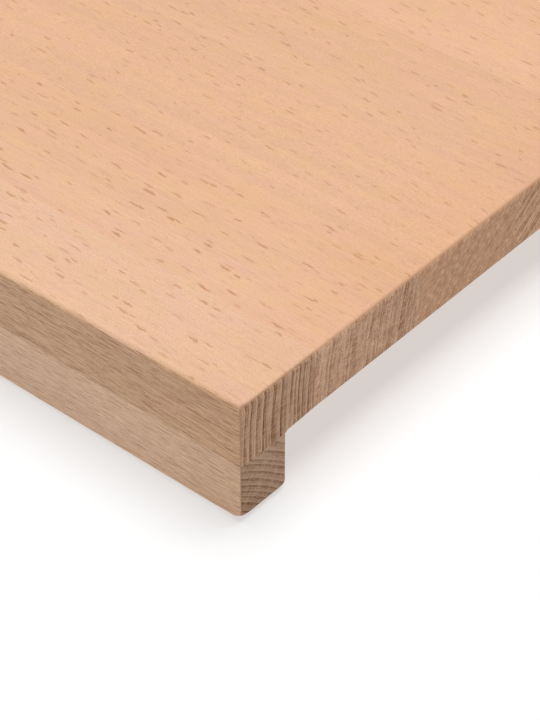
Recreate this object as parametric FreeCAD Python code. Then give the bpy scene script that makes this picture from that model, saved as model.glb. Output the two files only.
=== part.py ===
# A window sill board of solid beech staves, with a nose strip glued under its front edge.
#
# The staves lie side by side, are glued on their edges and run the whole length. The nose strip
# lies flat under the front edge, flush with the board's front and ends, so that the room sees a
# front twice as high as the board is thick. The strip's back hooks over the wall, and the rest of
# the underside is the board's bed on it.
#
# Sizes are in millimetres. +X runs along the board, +Y from the room towards the window, and +Z
# up. The origin is below the middle of the board, at the level of the nose strip's foot.
import FreeCAD, Part
import os

from FreeCAD import Vector

# The board
board_length = 1000.0
board_depth = 250.0
board_thickness = 20.0

# Its staves: the front one was ripped narrower, and the full ones behind it are alike
front_stave_width = 29.5
full_stave_count = 5

# The nose strip
nose_depth = 18.5
nose_height = 20.0

# Arris radii: the room's edges are rounded, and the hidden ones only have their sharpness off
top_radius = 2.0
front_corner_radius = 1.0
nose_foot_radius = 2.2
nose_foot_end_radius = 3.2
nose_back_radius = 1.5
underside_end_radius = 1.5
back_radius = 0.5
SHARP = 0.0

# Places worked out from the sizes
left = -board_length / 2
right = board_length / 2
front = -board_depth / 2
back = board_depth / 2
nose_back = front + nose_depth
foot_level = 0.0
bed_level = foot_level + nose_height
top_level = bed_level + board_thickness


def rounded_outline(corners, radii):
    """A closed outline through square corners, each rounded by its own radius."""
    corner_count = len(corners)
    edges = []
    arrivals = []
    departures = []
    for i, (corner, radius) in enumerate(zip(corners, radii)):
        to_last = (corners[i - 1] - corner).normalize()
        to_next = (corners[(i + 1) % corner_count] - corner).normalize()
        arrival = corner + to_last * radius
        departure = corner + to_next * radius
        arrivals.append(arrival)
        departures.append(departure)
        if radius > SHARP:
            inward = to_last + to_next
            crown = corner + inward * radius - inward.normalize() * radius
            edges.append(Part.Arc(arrival, crown, departure).toShape())
    for i in range(corner_count):
        edges.append(Part.LineSegment(departures[i - 1], arrivals[i]).toShape())
    return Part.Wire(Part.__sortEdges__(edges))


def ring(low_u, high_u, low_v, high_v):
    """The corners of a rectangle, from the low one and round by the lower side."""
    return [(low_u, low_v), (high_u, low_v), (high_u, high_v), (low_u, high_v)]


def rounded_block(low, high, side_radii, front_radii, plan_radii):
    """A block that has its own rounded outline in each view, as if shaped from three sides.

    Each view's radii follow its ring: low, lower right, high and upper left, with Y to the right
    in the side view and X to the right in the two others.
    """
    size = high - low
    side = [Vector(low.x, y, z) for y, z in ring(low.y, high.y, low.z, high.z)]
    elevation = [Vector(x, low.y, z) for x, z in ring(low.x, high.x, low.z, high.z)]
    plan = [Vector(x, y, low.z) for x, y in ring(low.x, high.x, low.y, high.y)]
    block = Part.Face(rounded_outline(side, side_radii)).extrude(Vector(size.x, 0, 0))
    across = Part.Face(rounded_outline(elevation, front_radii)).extrude(Vector(0, size.y, 0))
    down = Part.Face(rounded_outline(plan, plan_radii)).extrude(Vector(0, 0, size.z))
    return block.common(across).common(down)


def underside_end_waste():
    """What easing the underside's ends takes off, from the nose strip's back to the board's back.

    The two pieces meet flush on the end itself, so their joint there keeps its sharp edges.
    """
    low = Vector(left, nose_back, bed_level)
    high = Vector(right, back, top_level)
    eased = (underside_end_radius, underside_end_radius, SHARP, SHARP)
    sharp = (SHARP, SHARP, SHARP, SHARP)
    square = rounded_block(low, high, sharp, sharp, sharp)
    return square.cut(rounded_block(low, high, sharp, eased, sharp))


def make_board():
    """The whole glued-up board, sanded and rounded as one before it is told apart into staves."""
    board = rounded_block(
        Vector(left, front, bed_level),
        Vector(right, back, top_level),
        side_radii=(SHARP, back_radius, back_radius, top_radius),
        front_radii=(SHARP, SHARP, top_radius, top_radius),
        plan_radii=(front_corner_radius, front_corner_radius, back_radius, back_radius),
    )
    return board.cut(underside_end_waste())


def make_nose_strip():
    """The strip under the front edge, whose upper face is glued to the board all over."""
    return rounded_block(
        Vector(left, front, foot_level),
        Vector(right, nose_back, bed_level),
        side_radii=(nose_foot_radius, nose_back_radius, SHARP, SHARP),
        front_radii=(nose_foot_end_radius, nose_foot_end_radius, SHARP, SHARP),
        plan_radii=(front_corner_radius, front_corner_radius, nose_back_radius, nose_back_radius),
    )


def make_staves():
    """The board's staves from front to back, cut out of the rounded board at the glue lines."""
    board = make_board()
    full_stave_width = (board_depth - front_stave_width) / full_stave_count
    staves = {}
    stave_front = front
    for number in range(1, full_stave_count + 2):
        width = front_stave_width if number == 1 else full_stave_width
        place = Vector(left, stave_front, bed_level)
        stave = board.common(Part.makeBox(board_length, width, board_thickness, place))
        name = "front_stave" if number == 1 else f"stave_{number}"
        staves[name] = stave
        stave_front += width
    return staves


pieces = make_staves()
pieces["nose_strip"] = make_nose_strip()

os.makedirs("parts", exist_ok=True)
for name, shape in pieces.items():
    solid = shape.removeSplitter().Solids[0]
    solid.exportStep(f"parts/{name}.step")
    box = solid.BoundBox
    print(name, len(shape.Solids), solid.isValid(), round(solid.Volume), round(box.YMin, 2), round(box.YMax, 2))
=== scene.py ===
# The looks of a beech window sill board: each stave and the nose strip as its own piece of timber,
# with its own growth rings, rays and tone, on a pale floor under soft light. The frame is the packed
# model's. Lengths are in metres, apart from the wood's figure, whose sizes are in millimetres.
import math
import random
from dataclasses import dataclass, replace

import bmesh
import bpy
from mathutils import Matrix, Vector, noise


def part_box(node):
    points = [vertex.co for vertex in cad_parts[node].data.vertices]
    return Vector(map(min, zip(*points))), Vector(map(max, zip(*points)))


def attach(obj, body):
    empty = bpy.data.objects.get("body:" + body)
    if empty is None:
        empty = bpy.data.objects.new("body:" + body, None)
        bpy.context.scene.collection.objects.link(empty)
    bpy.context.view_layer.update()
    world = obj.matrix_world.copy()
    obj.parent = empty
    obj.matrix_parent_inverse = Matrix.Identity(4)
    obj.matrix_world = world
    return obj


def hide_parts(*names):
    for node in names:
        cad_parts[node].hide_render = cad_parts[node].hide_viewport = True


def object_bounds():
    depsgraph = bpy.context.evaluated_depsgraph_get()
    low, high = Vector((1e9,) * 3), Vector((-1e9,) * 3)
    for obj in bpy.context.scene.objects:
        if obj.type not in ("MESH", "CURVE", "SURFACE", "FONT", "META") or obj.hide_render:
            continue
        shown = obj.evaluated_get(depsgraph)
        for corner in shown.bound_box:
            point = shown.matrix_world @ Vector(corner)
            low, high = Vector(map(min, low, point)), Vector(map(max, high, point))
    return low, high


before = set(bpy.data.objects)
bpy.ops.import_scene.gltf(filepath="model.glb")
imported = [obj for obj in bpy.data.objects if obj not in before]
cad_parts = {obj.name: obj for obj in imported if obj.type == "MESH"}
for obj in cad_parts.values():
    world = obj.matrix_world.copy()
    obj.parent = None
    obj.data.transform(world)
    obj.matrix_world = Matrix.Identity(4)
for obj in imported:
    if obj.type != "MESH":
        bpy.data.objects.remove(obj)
cad_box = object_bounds()
strip_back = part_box("nose_strip")[1].y

MM = 0.001

# Arris radii of the sanded board and strip
TOP_RADIUS = 2.0 * MM
FRONT_CORNER_RADIUS = 1.0 * MM
FOOT_RADIUS = 2.2 * MM
FOOT_END_RADIUS = 3.2 * MM
STRIP_BACK_RADIUS = 1.5 * MM
UNDERSIDE_END_RADIUS = 1.5 * MM
BACK_RADIUS = 0.5 * MM
SHARP = 0.0

# At the strip's back the sander eases the underside's end arris less, and further back in full
UNDERSIDE_START_RADIUS = 0.8 * MM
UNDERSIDE_RUN_IN = 14.0 * MM

# How far the sander draws the front's corners in, and how near to them it does
CORNER_PULL = 0.9 * MM
CORNER_REACH = 4.0 * MM

# A hand-held sander leaves the radii a little uneven along the board
RADIUS_WANDER = 0.04
RADIUS_WANDER_LENGTH = 35.0 * MM

# How finely the pieces are divided
ARC_STEPS = 8
SHARP_CORNER_REACH = 1.5 * MM
FACE_STEP = 1.5 * MM
LENGTH_STEP = 10.0 * MM
END_STATIONS = 14
END_REACH = 3.0 * MM
SHARP_ANGLE = math.radians(35)

# Where the underside is divided more finely, as distances in front of the strip's back
RUN_IN_PLACES = (1.5 * MM, 0.8 * MM, 0.4 * MM, 0.17 * MM, 0.0)


@dataclass
class Figure:
    """Unevenness in blotches of these sizes, as a factor that strays from 1 by up to spread.

    Figures of one timber differ by their offset, which is added to its seed.
    """

    sizes: tuple
    spread: float
    offset: float
    detail: float = 2.0


@dataclass
class Rays:
    """Spindle-shaped ray ends: their mean spacing, their size, and the share of places with one.

    pitch and size are each given along the grain and across it.
    """

    pitch: tuple
    size: tuple
    share: float
    offset: float


# Linear colours of steamed beech, and of its rays on the faces
TOP_BEECH = (0.668, 0.395, 0.245)
FRONT_BEECH = (0.669, 0.417, 0.272)
REAR_BEECH = (0.664, 0.389, 0.238)
STRIP_BEECH = (0.792, 0.535, 0.386)
FLECK_COLOUR = (0.44, 0.200, 0.092, 1)
NEUTRAL = (1, 1, 1, 1)

# The wood's long faces: slow drift of tone, fibres, fine speckle and the rings' slight shade
TONE_DRIFT = Figure(sizes=(90.0, 9.0, 9.0), spread=0.07, offset=7)
FIBRES = Figure(sizes=(6.0, 0.35, 0.35), spread=0.11, offset=11, detail=3.0)
SPECKLE = Figure(sizes=(0.5, 0.42, 0.42), spread=0.20, offset=13)
RING_SHADE = 0.03

# The hues between which a long face drifts, and how far it does on top and on the front
YELLOW_BIAS = (1.0, 1.02, 0.93)
PINK_BIAS = (1.0, 0.975, 1.07)
WARMTH = Figure(sizes=(14.0, 5.0, 5.0), spread=2.0, offset=41, detail=3.0)
MEAN_WARMTH = 0.5
TOP_DRIFT = 0.5
FRONT_DRIFT = 0.15

# A full stave's colour deepens from its front edge to its back one
FRONT_EDGE_BIAS = (1.005, 1.015, 1.03)
BACK_EDGE_BIAS = (0.99, 0.975, 0.955)

# Near a board's end the long faces are a little deeper in colour
END_BIAS = (0.985, 0.955, 0.92)
END_BIAS_REACH = 38.0

# A spindle's half length and half width, as the least and what chance adds, in shares of its size
SPINDLE_LENGTH = (0.25, 0.45)
SPINDLE_WIDTH = (0.35, 0.4)

# Where a spindle fades out and where it is full, by its ellipse's squared reach
SPINDLE_EDGE = (1.2, 0.1)
FAINTEST_SPINDLE = 0.2

# How many crosswise pitches a spindle goes into the wood
SPINDLE_DEPTH = 4

# Ray flecks on the faces, whose thin ones are shares of the large ones
FLECK_SHARE = 0.8
THIN_FLECK_PITCH = (0.6, 0.45)
THIN_FLECK_SIZE = (0.8, 0.4)
THIN_FLECK_SHARE = 0.75
THIN_FLECK_OFFSET = 5
THIN_FLECK_MARK = 0.45
FACE_BEND = Figure(sizes=(2.6, 1.4, 6.0), spread=0.6, offset=29, detail=1.0)
FACE_SLOPE = 0.06

# Rays seen end on, as lines on the front and back: their tint and shade, and their strength
SIDE_TINT = (1.045, 1.055, 0.99)
LINE_SHADE = (0.42, 0.24, 0.10)
LONG_LINES = Rays(pitch=(7.0, 0.95), size=(7.0, 0.24), share=0.85, offset=9)
SHORT_LINES = Rays(pitch=(3.2, 0.62), size=(3.0, 0.18), share=0.8, offset=10)
SHORT_LINE_MARK = 0.7
STREAKS = Figure(sizes=(6.0, 0.24, 4.0), spread=1.0, offset=17, detail=0.5)
STREAK_RANGE = (1.4, 0.6)
STREAK_MARK = 0.35
LINE_MARK = 0.75
SIDE_BEND = Figure(sizes=(12.0, 4.0, 4.0), spread=0.4, offset=37, detail=1.0)
SIDE_SLOPE = 0.01

# Growth rings: how far each place is shifted outward by their slow wander and by their ripple, what
# the two come to on the whole, and how quickly a ring's dark end turns into the next early wood
RING_WANDER = Figure(sizes=(160.0, 60.0, 150.0), spread=0.9, offset=0, detail=1.0)
RING_RIPPLE = Figure(sizes=(20.0, 3.5, 3.5), spread=0.10, offset=3, detail=1.0)
MEAN_SHIFT = 2.0
RING_TURN = 0.22

# Colours of the sawn and sanded ends, and where they lie between the two on the whole
END_LIGHT = (0.686, 0.433, 0.274)
END_DARK = (0.245, 0.077, 0.018)
END_DARKNESS = 0.40

# What a ring, its late wood and its early wood do to an end's darkness, what they come to on the
# whole, and how late in the ring the late wood comes
RING_BODY_MARK = 0.45
LATE_WOOD_MARK = 0.6
EARLY_WOOD_MARK = 0.25
MEAN_RING_MARK = 0.28
LATENESS = 5.0

# Finer figure of the ends. The growth lines, pores and sanding are as strong as each timber's marks
# say, and the growth lines' middle size, their length along the ring, is times its growth_run.
GROWTH_LINES = Figure(sizes=(0.30, 1.0, 1.0), spread=1.0, offset=23)
PORES = Figure(sizes=(0.5, 0.34, 0.34), spread=1.0, offset=27)
SANDING = Figure(sizes=(2.0, 0.95, 2.6), spread=1.0, offset=33, detail=1.0)
PATCHES = Figure(sizes=(3.0, 3.0, 1.0), spread=0.15, offset=31)
END_RAYS = Rays(pitch=(5.0, 0.60), size=(6.5, 0.20), share=0.8, offset=19)
FIGURE_MARK = 1.5

# How far the sanding marks on an end lean back, for each millimetre up
SANDING_LEAN = 1.1

# How fast the ends' figure changes along the board, against its change across it
LENGTHWISE_RATE = 0.1

# Where the faces' figures start and are full, by how squarely a place faces up, sideways or endways
FACE_COVER = (0.3, 0.8)
SIDE_COVER = (0.2, 0.7)
END_COVER = (0.45, 0.85)
SIDE_COLOUR_COVER = (0.1, 0.6)
END_COLOUR_COVER = (0.2, 0.6)

# Painted shade on the rounded edges: a little darker where they turn down, from where they face up
# less than on top, to where they have turned away
ARRIS_PAINTED_SHADE = 0.06
ARRIS_TOP = (0.6, 0.3)
ARRIS_FOOT = (0.02, 0.12)

# The finish: its relief, its roughness, and how much the long faces and the ends shine
RELIEF = 0.05 * MM
RELIEF_STRENGTH = 0.15
DARK_WOOD_RELIEF = 0.15
ROUGHNESS = 0.55
LONG_FACE_SHINE = 0.3
END_SHINE = 0.1


@dataclass
class Timber:
    """What sets one piece of timber apart, with its figure's sizes in millimetres.

    pith is the tree's centre, in Y and Z from the piece's low corner, and ring_widths are counted
    outward from the piece's place nearest to it. The marks say how strong each figure is.
    """

    seed: float
    tone: tuple
    pith: tuple
    ring_widths: tuple
    ring_mark: float
    growth_mark: float
    growth_run: float
    pore_mark: float
    ray_mark: float
    mottle_mark: float
    # How much darker an end grows toward the pith; on the nose strip this is painted shade at its
    # foot
    pith_darkening_painted_shade_mark: float
    end_tint: tuple
    fleck_size: tuple
    fleck_pitch: tuple
    fleck_mark: float
    line_mark: float
    deepening: float
    end_bias: tuple = END_BIAS


FRONT_TIMBER = Timber(
    seed=1.3,
    tone=FRONT_BEECH,
    pith=(134.5, 1.4),
    ring_widths=(0.6, 2.0, 2.5, 1.7, 1.5, 1.7, 3.8, 3.3, 3.7, 2.6, 2.5, 2.2, 3.0),
    ring_mark=0.9,
    growth_mark=0.75,
    growth_run=12.0,
    pore_mark=0.42,
    ray_mark=0.7,
    mottle_mark=0.18,
    pith_darkening_painted_shade_mark=0.0,
    end_tint=(0.815, 0.82, 0.835),
    fleck_size=(4.7, 0.80),
    fleck_pitch=(7.4, 4.7),
    fleck_mark=0.66,
    line_mark=1.0,
    deepening=0.0,
)

STRIP_TIMBER = Timber(
    seed=5.1,
    tone=STRIP_BEECH,
    pith=(-52.0, -68.0),
    ring_widths=(1.9, 1.9, 2.5, 1.8, 1.5, 1.7, 2.0, 2.1, 2.0, 1.3, 2.7, 2.6, 3.5),
    ring_mark=0.62,
    growth_mark=0.35,
    growth_run=6.0,
    pore_mark=0.5,
    ray_mark=0.5,
    mottle_mark=0.2,
    # Painted shade: the strip's end darkens toward its foot, where less light reaches near the floor
    pith_darkening_painted_shade_mark=0.12,
    end_tint=(0.71, 0.755, 0.785),
    fleck_size=(5.0, 0.6),
    fleck_pitch=(8.0, 3.0),
    fleck_mark=0.5,
    line_mark=0.8,
    deepening=0.0,
    end_bias=(0.925, 0.895, 0.86),
)

SECOND_TIMBER = Timber(
    seed=9.7,
    tone=TOP_BEECH,
    pith=(169.5, -11.1),
    ring_widths=(9.0, 4.7, 2.1, 2.6, 1.4, 2.6, 7.3, 1.5, 1.5, 6.1, 1.6, 4.9, 3.0),
    ring_mark=0.35,
    growth_mark=0.5,
    growth_run=6.0,
    pore_mark=0.5,
    ray_mark=0.4,
    mottle_mark=0.26,
    pith_darkening_painted_shade_mark=0.06,
    end_tint=(1.0, 1.02, 1.06),
    fleck_size=(4.6, 0.75),
    fleck_pitch=(8.0, 4.8),
    fleck_mark=0.8,
    line_mark=0.6,
    deepening=1.0,
)

THIRD_TIMBER = replace(
    SECOND_TIMBER,
    seed=15.0,
    tone=REAR_BEECH,
    pith=(130.0, -100.0),
    ring_widths=(4.0, 6.5, 5.0, 7.0, 3.5, 6.0, 5.5, 7.0, 4.0, 6.0),
    ring_mark=0.15,
    growth_mark=0.16,
    pore_mark=0.08,
    ray_mark=0.1,
    mottle_mark=0.36,
    pith_darkening_painted_shade_mark=0.0,
    end_tint=(1.05, 1.035, 1.02),
    fleck_size=(4.2, 0.6),
    fleck_mark=0.6,
    deepening=0.3,
)

# The staves out of the photograph: where their pith lay, and the ranges that chance draws from
REAR_PITHS = {
    "stave_4": (-70.0, 120.0),
    "stave_5": (14.0, -66.0),
    "stave_6": (100.0, -75.0),
}
REAR_CHANCE = 4
REAR_FIRST_SEED = 19.3
REAR_SEED_STEP = 4.3
REAR_BRIGHTNESS = (0.97, 1.03)
REAR_RING_MEAN = 3.6
REAR_RING_SPREAD = (0.55, 1.5)
REAR_RING_COUNT = 15
REAR_DEEPENING = (0.0, 0.5)

# The photograph's camera: its direction, its distance, and where the board's corner shows
PHOTO_WIDTH = 540
PHOTO_HEIGHT = 720
CAMERA_AZIMUTH = math.radians(40.45)
CAMERA_ELEVATION = math.radians(40.5)
CAMERA_DISTANCE = 0.607
FOCAL_PIXELS = 2426.0
CORNER_PIXEL = (240.2, 409.8)
SENSOR_MM = 36.0
NEAREST_SEEN = 0.01

# A pale floor that shines a little, and surroundings that go on from it
FLOOR_HALF = 15.0
FLOOR_TONE = 0.39
FLOOR_GLOW = 0.54
FLOOR_ROUGHNESS = 0.9
FLOOR_SHINE = 0.1
FAR_TONE = 0.62
HORIZON_TONE = 0.68
HORIZON_LEVEL = 0.06
HORIZON_TOP = 0.30
SKY_TONE = 0.16

# A large soft light above the board, and a small one low in front of it
LIGHT_AIM = Vector((0.3, 0.0, 0.0))
KEY_PLACE = (0.3, 1.2, 6.6)
KEY_SIZE = 4.8
KEY_POWER = 555.0
FILL_PLACE = (0.2, -2.2, 1.15)
FILL_SIZE = 1.4
FILL_POWER = 5.6


def inset(distance, radius):
    """How far a face has drawn back by a rounding at this distance from the end."""
    if distance >= radius:
        return 0.0
    return radius - math.sqrt(radius**2 - (radius - distance) ** 2)


def corner_points(corner, to_last, to_next, radius):
    """The outline's points round one square corner, as an arc or as two short straight runs."""
    half = ARC_STEPS // 2
    if radius > SHARP:
        centre = corner + (to_last + to_next) * radius
        angles = [math.pi / 2 * i / ARC_STEPS for i in range(ARC_STEPS + 1)]
        return [
            centre - to_next * radius * math.cos(angle) - to_last * radius * math.sin(angle)
            for angle in angles
        ]
    before = [corner + to_last * SHARP_CORNER_REACH * (half - i) / half for i in range(half)]
    after = [corner + to_next * SHARP_CORNER_REACH * i / half for i in range(half + 1)]
    return before + after


def section(low, high, radii):
    """The points round a piece's cross-section, and into how many steps they divide its sides.

    radii are those of the corners, from the low front one round by the underside.
    """
    corners = [
        Vector((low.y, low.z)),
        Vector((high.y, low.z)),
        Vector((high.y, high.z)),
        Vector((low.y, high.z)),
    ]
    depth_cells = max(1, round((high.y - low.y) / FACE_STEP))
    height_cells = max(1, round((high.z - low.z) / FACE_STEP))
    points = []
    for i, (corner, radius) in enumerate(zip(corners, radii)):
        next_corner = corners[(i + 1) % 4]
        next_radius = radii[(i + 1) % 4]
        to_last = (corners[i - 1] - corner).normalized()
        to_next = (next_corner - corner).normalized()
        points += corner_points(corner, to_last, to_next, radius)
        reach = radius if radius > SHARP else SHARP_CORNER_REACH
        next_reach = next_radius if next_radius > SHARP else SHARP_CORNER_REACH
        cells = depth_cells if i % 2 == 0 else height_cells
        start = corner + to_next * reach
        end = next_corner - to_next * next_reach
        points += [start.lerp(end, j / cells) for j in range(1, cells)]
    return points, depth_cells + ARC_STEPS, height_cells + ARC_STEPS


def gather(points, low, places):
    """Moves the underside's points nearest to these places, from front to back, onto them."""
    under = [point for point in points if math.isclose(point.y, low.z)]
    under.sort(key=lambda point: point.x)
    middle = sum(places) / len(places)
    nearest = min(range(len(under)), key=lambda i: abs(under[i].x - middle))
    first = nearest - len(places) // 2
    for point, place in zip(under[first:], places):
        point.x = place


def drawn_back(point, low, high, distance, end_radii):
    """A cross-section's point moved inward by the end roundings of the four sides."""
    front, back, under, top = end_radii
    across = (point.x - low.y) / (high.y - low.y)
    up = (point.y - low.z) / (high.z - low.z)
    under_radius = under(point.x) if callable(under) else under
    y_low = low.y + inset(distance, front)
    y_high = high.y - inset(distance, back)
    z_low = low.z + inset(distance, under_radius)
    z_high = high.z - inset(distance, top)
    return y_low + (y_high - y_low) * across, z_low + (z_high - z_low) * up


def softened(place):
    """A place near one of the front's four corners, drawn in where the sander rounds them off."""
    from_end = min(place.x - cad_box[0].x, cad_box[1].x - place.x)
    from_front = place.y - cad_box[0].y
    from_height = min(place.z - cad_box[0].z, cad_box[1].z - place.z)
    pull = CORNER_PULL
    for distance in (from_end, from_front, from_height):
        pull *= max(0.0, 1 - distance / CORNER_REACH)
    inward = math.copysign(pull, -place.x)
    return Vector((place.x + inward, place.y + pull, place.z))


def stations(low, high):
    """The places along the board that get a cross-section, crowded at both ends."""
    steps = [i / END_STATIONS for i in range(END_STATIONS + 1)]
    crowded = [END_REACH * (1 - math.cos(step * math.pi / 2)) for step in steps]
    inner = high.x - low.x - 2 * END_REACH
    count = round(inner / LENGTH_STEP)
    middle = [low.x + END_REACH + inner * i / count for i in range(1, count)]
    return [low.x + d for d in crowded] + middle + [high.x - d for d in reversed(crowded)]


def cap(mesh, rim, depth_cells, height_cells):
    """Closes an end with a grid of faces that joins its rim point to point."""
    rows, columns = height_cells, depth_cells
    turn = ARC_STEPS // 2
    count = len(rim)

    def on_rim(step):
        return rim[(turn + step) % count]

    grid = [[None] * (columns + 1) for _ in range(rows + 1)]
    for i in range(columns + 1):
        grid[0][i] = on_rim(i)
        grid[rows][i] = on_rim(2 * columns + rows - i)
    for j in range(rows + 1):
        grid[j][columns] = on_rim(columns + j)
        grid[j][0] = on_rim(2 * columns + 2 * rows - j)
    first, last, top = grid[0][0].co, grid[0][columns].co, grid[rows][0].co
    for j in range(1, rows):
        for i in range(1, columns):
            lower, upper = grid[0][i].co, grid[rows][i].co
            left, right = grid[j][0].co, grid[j][columns].co
            across = (lower.y - first.y) / (last.y - first.y)
            up = (left.z - first.z) / (top.z - first.z)
            place = Vector((lower.x, left.lerp(right, across).y, lower.lerp(upper, up).z))
            grid[j][i] = mesh.verts.new(place)
    for j in range(rows):
        for i in range(columns):
            mesh.faces.new((grid[j][i], grid[j + 1][i], grid[j + 1][i + 1], grid[j][i + 1]))


def piece_mesh(low, high, corner_radii, end_radii, fine_places, seed):
    """A closed mesh of cross-sections along the piece, with rounded arrises.

    fine_places are the places, if any, where the underside is divided more finely.
    """
    mesh = bmesh.new()
    rings = []
    for x in stations(low, high):
        wander = noise.noise(Vector((x / RADIUS_WANDER_LENGTH, seed, 0)))
        radii = [radius * (1 + RADIUS_WANDER * wander) for radius in corner_radii]
        points, depth_cells, height_cells = section(low, high, radii)
        if fine_places:
            gather(points, low, fine_places)
        distance = min(x - low.x, high.x - x)
        places = [drawn_back(p, low, high, distance, end_radii) for p in points]
        rings.append([mesh.verts.new(softened(Vector((x, y, z)))) for y, z in places])
    count = len(rings[0])
    for one, two in zip(rings, rings[1:]):
        for i in range(count):
            j = (i + 1) % count
            mesh.faces.new((one[i], one[j], two[j], two[i]))
    cap(mesh, rings[0], depth_cells, height_cells)
    cap(mesh, rings[-1], depth_cells, height_cells)
    return mesh


def linked_object(name, mesh):
    """Puts a finished mesh in the scene as an object."""
    data = bpy.data.meshes.new(name)
    mesh.to_mesh(data)
    mesh.free()
    made = bpy.data.objects.new(name, data)
    bpy.context.scene.collection.objects.link(made)
    return made


def make_piece(name, low, high, corner_radii, end_radii, fine_places, seed):
    """A length of timber, shaded smoothly round its arrises and sharply at its glue lines."""
    mesh = piece_mesh(low, high, corner_radii, end_radii, fine_places, seed)
    bmesh.ops.recalc_face_normals(mesh, faces=mesh.faces)
    for edge in mesh.edges:
        edge.smooth = edge.calc_face_angle(0.0) < SHARP_ANGLE
    for face in mesh.faces:
        face.smooth = True
    piece = linked_object(name, mesh)
    weighting = piece.modifiers.new("even_shading", "WEIGHTED_NORMAL")
    weighting.keep_sharp = True
    return piece


def add_node(tree, kind, inputs=None, **settings):
    """A new node with its settings made and its sockets filled with values or links."""
    made = tree.nodes.new(kind)
    for name, value in settings.items():
        setattr(made, name, value)
    for socket, value in (inputs or {}).items():
        if isinstance(value, bpy.types.NodeSocket):
            tree.links.new(value, made.inputs[socket])
        else:
            made.inputs[socket].default_value = value
    return made


def calc(tree, operation, *values):
    """A sum, product or other operation on numbers."""
    return add_node(tree, "ShaderNodeMath", dict(enumerate(values)), operation=operation).outputs[0]


def product(tree, *values):
    """All these numbers multiplied."""
    result = values[0]
    for value in values[1:]:
        result = calc(tree, "MULTIPLY", result, value)
    return result


def ease(tree, value, start, end, to_start=0.0, to_end=1.0):
    """A value carried smoothly from one range to another, and held beyond it."""
    inputs = {0: value, 1: start, 2: end, 3: to_start, 4: to_end}
    made = add_node(tree, "ShaderNodeMapRange", inputs, interpolation_type="SMOOTHSTEP")
    return made.outputs[0]


def combine(tree, x, y, z):
    """A vector of three numbers."""
    return add_node(tree, "ShaderNodeCombineXYZ", {0: x, 1: y, 2: z}).outputs[0]


def separate(tree, vector):
    """The three numbers of a vector."""
    return add_node(tree, "ShaderNodeSeparateXYZ", {0: vector}).outputs


def vector_calc(tree, operation, *values):
    """An operation on vectors that gives a vector."""
    made = add_node(tree, "ShaderNodeVectorMath", dict(enumerate(values)), operation=operation)
    return made.outputs[0]


def dot(tree, first, second):
    """The dot product of two vectors."""
    made = add_node(tree, "ShaderNodeVectorMath", {0: first, 1: second}, operation="DOT_PRODUCT")
    return made.outputs["Value"]


def blend(tree, factor, first, second):
    """Two colours mixed by a factor."""
    made = add_node(tree, "ShaderNodeMix", {0: factor, 6: first, 7: second}, data_type="RGBA")
    return made.outputs[2]


def scaled(tree, vector, factor):
    """A colour made lighter or darker, or a place made larger or smaller, by a factor."""
    made = add_node(tree, "ShaderNodeVectorMath", {0: vector, 3: factor}, operation="SCALE")
    return made.outputs[0]


def tinted(colour, tint):
    """A colour's channels multiplied by a tint's, and made opaque."""
    return (*[channel * share for channel, share in zip(colour, tint)], 1)


def grain(tree, place, figure, seed, strength=1.0):
    """A factor about 1 that follows a figure of the wood."""
    scale = [1 / size for size in figure.sizes]
    shift = seed + figure.offset
    spot = vector_calc(tree, "MULTIPLY_ADD", place, scale, (shift, -shift, 2 * shift))
    inputs = {"Vector": spot, "Scale": 1.0, "Detail": figure.detail}
    value = add_node(tree, "ShaderNodeTexNoise", inputs).outputs[0]
    spread = figure.spread * strength
    return calc(tree, "MULTIPLY_ADD", value, 2 * spread, 1 - spread)


def spindles(tree, place, rays, seed):
    """How much of a ray end covers each place, from 0 to 1.

    place has the grain along X and the face's other direction along Y.
    """
    pitches = (rays.pitch[0], rays.pitch[1], SPINDLE_DEPTH * rays.pitch[1])
    scale = [1 / step for step in pitches]
    shift = seed + rays.offset
    cell = vector_calc(tree, "MULTIPLY_ADD", place, scale, (shift, 2 * shift, shift))
    cells = add_node(tree, "ShaderNodeTexVoronoi", {"Vector": cell, "Scale": 1.0}).outputs
    away = vector_calc(tree, "SUBTRACT", cell, cells["Position"])
    away = separate(tree, vector_calc(tree, "MULTIPLY", away, pitches))
    chance = separate(tree, cells["Color"])
    length_least, length_more = [rays.size[0] * share for share in SPINDLE_LENGTH]
    width_least, width_more = [rays.size[1] * share for share in SPINDLE_WIDTH]
    half_length = calc(tree, "MULTIPLY_ADD", chance[0], length_more, length_least)
    half_width = calc(tree, "MULTIPLY_ADD", chance[1], width_more, width_least)
    lengthwise = calc(tree, "DIVIDE", away[0], half_length)
    sideways = calc(tree, "DIVIDE", away[1], half_width)
    squares = product(tree, lengthwise, lengthwise), product(tree, sideways, sideways)
    shape = ease(tree, calc(tree, "ADD", *squares), *SPINDLE_EDGE)
    empty = 1.0 - rays.share
    strength = ease(tree, chance[2], empty, 1.0, FAINTEST_SPINDLE)
    present = calc(tree, "GREATER_THAN", chance[2], empty)
    return product(tree, shape, strength, present)


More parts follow.
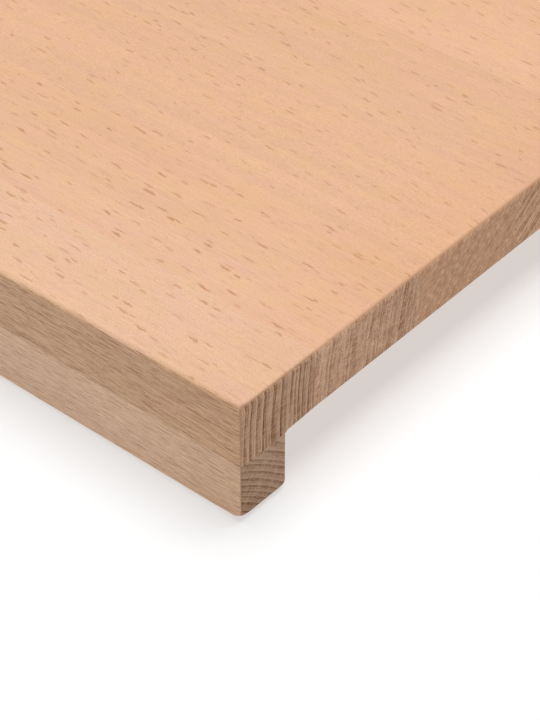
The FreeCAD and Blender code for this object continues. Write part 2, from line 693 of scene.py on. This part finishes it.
def ring_places(tree, place, size, timber):
    """Each place's distance out from the first ring, and its distance round the tree."""
    _, y, z = separate(tree, place)
    pith_y, pith_z = timber.pith
    depth, height = size.y / MM, size.z / MM
    out_y = calc(tree, "SUBTRACT", y, pith_y)
    out_z = calc(tree, "SUBTRACT", z, pith_z)
    squares = product(tree, out_y, out_y), product(tree, out_z, out_z)
    radius = calc(tree, "SQRT", calc(tree, "ADD", *squares))
    beside = pith_y - min(max(pith_y, 0.0), depth)
    below = pith_z - min(max(pith_z, 0.0), height)
    nearest = math.hypot(beside, below)
    wander = grain(tree, place, RING_WANDER, timber.seed)
    ripple = grain(tree, place, RING_RIPPLE, timber.seed)
    reach = calc(tree, "SUBTRACT", radius, nearest + MEAN_SHIFT)
    reach = calc(tree, "ADD", reach, calc(tree, "ADD", wander, ripple))
    heading = math.atan2(height / 2 - pith_z, depth / 2 - pith_y)
    outward = (0, math.cos(heading), math.sin(heading))
    sideways = (0, -math.sin(heading), math.cos(heading))
    spoke = combine(tree, 0.0, out_y, out_z)
    angle = calc(tree, "ARCTAN2", dot(tree, spoke, sideways), dot(tree, spoke, outward))
    return reach, calc(tree, "MULTIPLY", angle, nearest + depth / 2)


def ring_ramp(tree, reach, widths):
    """How far each place is through its growth ring, from 0 in early wood to 1 at its dark end."""
    span = sum(widths)
    ramp = add_node(tree, "ShaderNodeValToRGB", {0: calc(tree, "DIVIDE", reach, span)})
    stops = ramp.color_ramp.elements
    stops[0].color = (0, 0, 0, 1)
    stops[1].color = (1, 1, 1, 1)
    edge = 0.0
    for width in widths[:-1]:
        edge += width
        late = stops.new(edge / span)
        late.color = (1, 1, 1, 1)
        early = stops.new((edge + RING_TURN) / span)
        early.color = (0, 0, 0, 1)
    return ramp.outputs[0]


def long_colour(tree, place, size, facing_side, tone, timber):
    """The wood's own colour on its long faces, before its rays."""
    x, y, _ = separate(tree, place)
    warmth = grain(tree, place, WARMTH, timber.seed)
    drift = ease(tree, facing_side, *SIDE_COVER, TOP_DRIFT, FRONT_DRIFT)
    warmth = calc(tree, "MULTIPLY_ADD", calc(tree, "SUBTRACT", warmth, 1.0), drift, MEAN_WARMTH)
    base = blend(tree, warmth, tinted(timber.tone, YELLOW_BIAS), tinted(timber.tone, PINK_BIAS))

    back_share = ease(tree, y, 0.0, size.y / MM)
    depth_bias = blend(tree, back_share, (*FRONT_EDGE_BIAS, 1), (*BACK_EDGE_BIAS, 1))
    depth_bias = blend(tree, timber.deepening, NEUTRAL, depth_bias)

    half_length = size.x / MM / 2
    from_middle = calc(tree, "ABSOLUTE", calc(tree, "SUBTRACT", x, half_length))
    end_share = ease(tree, from_middle, half_length - END_BIAS_REACH, half_length)
    end_bias = blend(tree, end_share, NEUTRAL, (*timber.end_bias, 1))

    colour = vector_calc(tree, "MULTIPLY", base, depth_bias)
    return scaled(tree, vector_calc(tree, "MULTIPLY", colour, end_bias), tone)


def face_colour(tree, place, plain, facing_up, timber):
    """Top and underside: spindle flecks that run at a slight slope to the edges."""
    x, y, z = separate(tree, place)
    bend = grain(tree, place, FACE_BEND, timber.seed)
    sloped = calc(tree, "ADD", calc(tree, "MULTIPLY_ADD", x, FACE_SLOPE, y), bend)
    spot = combine(tree, x, sloped, z)
    pitch, size = timber.fleck_pitch, timber.fleck_size
    thin_pitch = [step * share for step, share in zip(pitch, THIN_FLECK_PITCH)]
    thin_size = [length * share for length, share in zip(size, THIN_FLECK_SIZE)]
    large_flecks = Rays(pitch, size, FLECK_SHARE, 0)
    thin_flecks = Rays(thin_pitch, thin_size, THIN_FLECK_SHARE, THIN_FLECK_OFFSET)
    large = spindles(tree, spot, large_flecks, timber.seed)
    thin = spindles(tree, spot, thin_flecks, timber.seed)
    mark = calc(tree, "MAXIMUM", large, product(tree, thin, THIN_FLECK_MARK))
    mark = product(tree, mark, ease(tree, facing_up, *FACE_COVER), timber.fleck_mark)
    return blend(tree, mark, plain, FLECK_COLOUR)


def side_colour(tree, place, plain, facing_side, timber):
    """Front and back: the rays seen end on, as dense thin lines along the grain."""
    x, y, z = separate(tree, place)
    bend = grain(tree, place, SIDE_BEND, timber.seed)
    height = calc(tree, "ADD", calc(tree, "MULTIPLY_ADD", x, SIDE_SLOPE, z), bend)
    spot = combine(tree, x, height, y)
    streak = ease(tree, grain(tree, spot, STREAKS, timber.seed), *STREAK_RANGE)
    long_lines = spindles(tree, spot, LONG_LINES, timber.seed)
    short_lines = spindles(tree, spot, SHORT_LINES, timber.seed)
    lines = calc(tree, "MAXIMUM", long_lines, product(tree, short_lines, SHORT_LINE_MARK))
    mark = calc(tree, "MULTIPLY_ADD", streak, STREAK_MARK, product(tree, lines, LINE_MARK))
    mark = product(tree, mark, ease(tree, facing_side, *SIDE_COVER), timber.line_mark)
    light = vector_calc(tree, "MULTIPLY", plain, SIDE_TINT)
    dark = vector_calc(tree, "MULTIPLY", plain, LINE_SHADE)
    return blend(tree, mark, light, dark)


def fine_end_figure(tree, place, cut, timber):
    """A factor about 1 for the ends' growth lines, pores, sanding marks and patches."""
    x, y, z = separate(tree, place)
    width, run, length = GROWTH_LINES.sizes
    lines = replace(GROWTH_LINES, sizes=(width, run * timber.growth_run, length))
    growth = grain(tree, cut, lines, timber.seed, timber.growth_mark)
    pores = grain(tree, place, PORES, timber.seed, timber.pore_mark)
    across = calc(tree, "SUBTRACT", y, product(tree, z, SANDING_LEAN))
    along = calc(tree, "ADD", z, product(tree, y, SANDING_LEAN))
    leaning = combine(tree, x, across, along)
    mottle = grain(tree, leaning, SANDING, timber.seed, timber.mottle_mark)
    patches = grain(tree, cut, PATCHES, timber.seed)
    return product(tree, growth, pores, mottle, patches)


def end_darkness(tree, place, ring_place, ring, facing_end, timber):
    """How dark each place of an end is: dark at a ring's end, pale past it, with fine rays across."""
    reach, around = ring_place
    lengthwise = calc(tree, "MULTIPLY", separate(tree, place)[0], LENGTHWISE_RATE)
    cut = combine(tree, reach, around, lengthwise)
    late = calc(tree, "POWER", ring, LATENESS)
    early = calc(tree, "POWER", calc(tree, "SUBTRACT", 1.0, ring), LATENESS)
    rings = product(tree, ring, RING_BODY_MARK), product(tree, late, LATE_WOOD_MARK)
    rings = calc(tree, "ADD", *rings)
    rings = calc(tree, "SUBTRACT", rings, product(tree, early, EARLY_WOOD_MARK))
    plain = END_DARKNESS - MEAN_RING_MARK * timber.ring_mark
    darkness = calc(tree, "MULTIPLY_ADD", rings, timber.ring_mark, plain)
    uneven = calc(tree, "SUBTRACT", 1.0, fine_end_figure(tree, place, cut, timber))
    darkness = calc(tree, "MULTIPLY_ADD", uneven, FIGURE_MARK, darkness)
    # Darker toward the pith; on the nose strip this is painted shade at the foot of its end, near the
    # floor
    pith_darkening_painted_shade = ease(tree, reach, 0.0, sum(timber.ring_widths), timber.pith_darkening_painted_shade_mark, -timber.pith_darkening_painted_shade_mark)
    darkness = calc(tree, "ADD", darkness, pith_darkening_painted_shade)
    rays = spindles(tree, cut, END_RAYS, timber.seed)
    darkness = calc(tree, "SUBTRACT", darkness, product(tree, rays, timber.ray_mark))
    from_mean = calc(tree, "SUBTRACT", darkness, END_DARKNESS)
    return calc(tree, "MULTIPLY_ADD", from_mean, ease(tree, facing_end, *END_COVER), END_DARKNESS)


def finish(tree, colour, height, fibre, facing_end):
    """The sanded surface, with a slight relief and a duller end."""
    inputs = {"Height": height, "Strength": RELIEF_STRENGTH, "Distance": RELIEF}
    bump = add_node(tree, "ShaderNodeBump", inputs)
    inputs = {
        "Base Color": colour,
        "Roughness": calc(tree, "MULTIPLY", fibre, ROUGHNESS),
        "Normal": bump.outputs[0],
        "Specular IOR Level": ease(tree, facing_end, *END_COLOUR_COVER, LONG_FACE_SHINE, END_SHINE),
    }
    surface = add_node(tree, "ShaderNodeBsdfPrincipled", inputs)
    add_node(tree, "ShaderNodeOutputMaterial", {"Surface": surface.outputs[0]})


def facings(tree):
    """How squarely each place faces endways, sideways and up, from 0 to 1."""
    normal = separate(tree, add_node(tree, "ShaderNodeNewGeometry").outputs["Normal"])
    return [product(tree, share, share) for share in normal]


def place_in_timber(tree, low):
    """Each place in millimetres from the piece's low corner."""
    scene_place = add_node(tree, "ShaderNodeTexCoord").outputs["Object"]
    return scaled(tree, vector_calc(tree, "SUBTRACT", scene_place, tuple(low)), 1 / MM)


def mixed_by_facing(tree, on_face, on_side, on_end, facing):
    """One colour from those of the faces, the sides and the ends, with painted shade on the rounded
    edges.
    """
    facing_end, facing_side, facing_up = facing
    colour = blend(tree, ease(tree, facing_side, *SIDE_COLOUR_COVER), on_face, on_side)
    colour = blend(tree, ease(tree, facing_end, *END_COLOUR_COVER), colour, on_end)
    # Painted shade where the rounded edges turn down, away from the light
    arris = product(tree, ease(tree, facing_up, *ARRIS_TOP), ease(tree, facing_up, *ARRIS_FOOT))
    return scaled(tree, colour, calc(tree, "MULTIPLY_ADD", arris, -ARRIS_PAINTED_SHADE, 1.0))


def timber_material(name, timber, low, high):
    """Beech as a solid: long faces with flecks and fibres, and ends with rings and rays."""
    material = bpy.data.materials.new(name)
    material.use_nodes = True
    tree = material.node_tree
    tree.nodes.clear()
    size = high - low
    place = place_in_timber(tree, low)
    facing = facings(tree)
    facing_end, facing_side, facing_up = facing

    ring_place = ring_places(tree, place, size, timber)
    ring = ring_ramp(tree, ring_place[0], timber.ring_widths)
    drift = grain(tree, place, TONE_DRIFT, timber.seed)
    fibre = grain(tree, place, FIBRES, timber.seed)
    speckle = grain(tree, place, SPECKLE, timber.seed)
    ring_shade = calc(tree, "MULTIPLY_ADD", ring, -RING_SHADE, 1.0)
    tone = product(tree, drift, fibre, speckle, ring_shade)

    plain = long_colour(tree, place, size, facing_side, tone, timber)
    on_face = face_colour(tree, place, plain, facing_up, timber)
    on_side = side_colour(tree, place, plain, facing_side, timber)
    darkness = end_darkness(tree, place, ring_place, ring, facing_end, timber)
    end_light, end_dark = tinted(END_LIGHT, timber.end_tint), tinted(END_DARK, timber.end_tint)
    on_end = blend(tree, darkness, end_light, end_dark)
    colour = mixed_by_facing(tree, on_face, on_side, on_end, facing)
    grain_height = product(tree, fibre, speckle)
    height = calc(tree, "MULTIPLY_ADD", darkness, -DARK_WOOD_RELIEF, grain_height)
    finish(tree, colour, height, fibre, facing_end)
    return material


def make_timbers():
    """One description for each piece, those far from the front drawn by chance."""
    chance = random.Random(REAR_CHANCE)
    timbers = {
        "nose_strip": STRIP_TIMBER,
        "front_stave": FRONT_TIMBER,
        "stave_2": SECOND_TIMBER,
        "stave_3": THIRD_TIMBER,
    }
    for i, (name, pith) in enumerate(REAR_PITHS.items()):
        brightness = chance.uniform(*REAR_BRIGHTNESS)
        spreads = [chance.uniform(*REAR_RING_SPREAD) for _ in range(REAR_RING_COUNT)]
        timbers[name] = replace(
            SECOND_TIMBER,
            seed=REAR_FIRST_SEED + REAR_SEED_STEP * i,
            tone=tuple(channel * brightness for channel in REAR_BEECH),
            pith=pith,
            ring_widths=[REAR_RING_MEAN * spread for spread in spreads],
            ring_mark=0.35,
            pith_darkening_painted_shade_mark=0.0,
            end_tint=(1.02, 1.01, 1.0),
            fleck_size=(4.4, 0.65),
            fleck_mark=0.65,
            deepening=chance.uniform(*REAR_DEEPENING),
        )
    return timbers


def underside_end_radius(y):
    """The underside's end arris: over the strip it follows the strip's own corner, then it widens."""
    if y <= strip_back:
        return min(inset(strip_back - y, STRIP_BACK_RADIUS), UNDERSIDE_START_RADIUS)
    run = min((y - strip_back) / UNDERSIDE_RUN_IN, 1.0)
    eased = run * run * (3 - 2 * run)
    return UNDERSIDE_START_RADIUS + (UNDERSIDE_END_RADIUS - UNDERSIDE_START_RADIUS) * eased


def arris_radii(node):
    """A piece's arris radii: along it, from the low front one round, and those of its two ends."""
    if node == "front_stave":
        along = (SHARP, SHARP, SHARP, TOP_RADIUS)
        ends = (FRONT_CORNER_RADIUS, SHARP, underside_end_radius, TOP_RADIUS)
    elif node == "nose_strip":
        along = (FOOT_RADIUS, STRIP_BACK_RADIUS, SHARP, SHARP)
        ends = (FRONT_CORNER_RADIUS, STRIP_BACK_RADIUS, FOOT_END_RADIUS, SHARP)
    elif node == "stave_6":
        along = (SHARP, BACK_RADIUS, BACK_RADIUS, SHARP)
        ends = (SHARP, BACK_RADIUS, underside_end_radius, TOP_RADIUS)
    else:
        along = (SHARP, SHARP, SHARP, SHARP)
        ends = (SHARP, SHARP, underside_end_radius, TOP_RADIUS)
    return along, ends


def dress_pieces():
    """Replaces each CAD node with a finer mesh of the same form, in its own timber."""
    run_in_places = [strip_back - distance for distance in RUN_IN_PLACES]
    for node, timber in make_timbers().items():
        low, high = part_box(node)
        along, ends = arris_radii(node)
        fine_places = run_in_places if node == "front_stave" else []
        piece = make_piece(f"{node}_timber", low, high, along, ends, fine_places, timber.seed)
        piece.data.materials.append(timber_material(f"{node}_beech", timber, low, high))
        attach(piece, "root")
        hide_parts(node)


def make_camera():
    """A camera that sees the board's front right top corner where the photograph does."""
    data = bpy.data.cameras.new("photo_camera")
    camera = bpy.data.objects.new("photo_camera", data)
    bpy.context.scene.collection.objects.link(camera)
    level_share = math.cos(CAMERA_ELEVATION)
    rightward_share = math.sin(CAMERA_AZIMUTH) * level_share
    forward_share = -math.cos(CAMERA_AZIMUTH) * level_share
    back = Vector((rightward_share, forward_share, math.sin(CAMERA_ELEVATION)))
    right = Vector((math.cos(CAMERA_AZIMUTH), math.sin(CAMERA_AZIMUTH), 0))
    up = back.cross(right)
    corner = Vector((cad_box[1].x, cad_box[0].y, cad_box[1].z))
    rightward = (CORNER_PIXEL[0] - PHOTO_WIDTH / 2) / FOCAL_PIXELS * CAMERA_DISTANCE
    upward = (PHOTO_HEIGHT / 2 - CORNER_PIXEL[1]) / FOCAL_PIXELS * CAMERA_DISTANCE
    camera.location = corner + back * CAMERA_DISTANCE - right * rightward - up * upward
    camera.rotation_mode = "QUATERNION"
    camera.rotation_quaternion = (-back).to_track_quat("-Z", "Y")
    data.sensor_width = SENSOR_MM
    data.lens = FOCAL_PIXELS / PHOTO_HEIGHT * SENSOR_MM
    data.clip_start = NEAREST_SEEN
    bpy.context.scene.camera = camera


def make_floor():
    """A wide pale floor that the strip's foot stands on."""
    mesh = bmesh.new()
    level = cad_box[0].z
    corners = [(-1, -1), (1, -1), (1, 1), (-1, 1)]
    mesh.faces.new([mesh.verts.new((x * FLOOR_HALF, y * FLOOR_HALF, level)) for x, y in corners])
    floor = linked_object("floor", mesh)
    material = bpy.data.materials.new("pale_floor")
    material.use_nodes = True
    surface = material.node_tree.nodes["Principled BSDF"]
    surface.inputs["Base Color"].default_value = (FLOOR_TONE, FLOOR_TONE, FLOOR_TONE, 1)
    surface.inputs["Roughness"].default_value = FLOOR_ROUGHNESS
    surface.inputs["Specular IOR Level"].default_value = FLOOR_SHINE
    surface.inputs["Emission Color"].default_value = NEUTRAL
    surface.inputs["Emission Strength"].default_value = FLOOR_GLOW
    floor.data.materials.append(material)


def make_softbox(name, place, size, power):
    """A square soft light that looks at the board's right half."""
    data = bpy.data.lights.new(name, "AREA")
    data.size = size
    data.energy = power
    light = bpy.data.objects.new(name, data)
    light.location = place
    aim = LIGHT_AIM - light.location
    light.rotation_mode = "QUATERNION"
    light.rotation_quaternion = aim.to_track_quat("-Z", "Y")
    bpy.context.scene.collection.objects.link(light)


def make_world():
    """Surroundings that go on from the floor, are palest just above the horizon and dim above it."""
    world = bpy.data.worlds.new("studio")
    world.use_nodes = True
    tree = world.node_tree
    tree.nodes.clear()
    up = separate(tree, add_node(tree, "ShaderNodeTexCoord").outputs["Generated"])[2]
    strength = ease(tree, up, 0.0, HORIZON_TOP, HORIZON_TONE, SKY_TONE)
    near_floor = ease(tree, up, 0.0, HORIZON_LEVEL, FAR_TONE / HORIZON_TONE)
    inputs = {"Color": NEUTRAL, "Strength": product(tree, strength, near_floor)}
    background = add_node(tree, "ShaderNodeBackground", inputs)
    add_node(tree, "ShaderNodeOutputWorld", {"Surface": background.outputs[0]})
    bpy.context.scene.world = world
    bpy.context.scene.view_settings.view_transform = "Standard"
    bpy.context.scene.view_settings.look = "None"


dress_pieces()
make_floor()
make_softbox("key", KEY_PLACE, KEY_SIZE, KEY_POWER)
make_softbox("fill", FILL_PLACE, FILL_SIZE, FILL_POWER)
make_world()
make_camera()
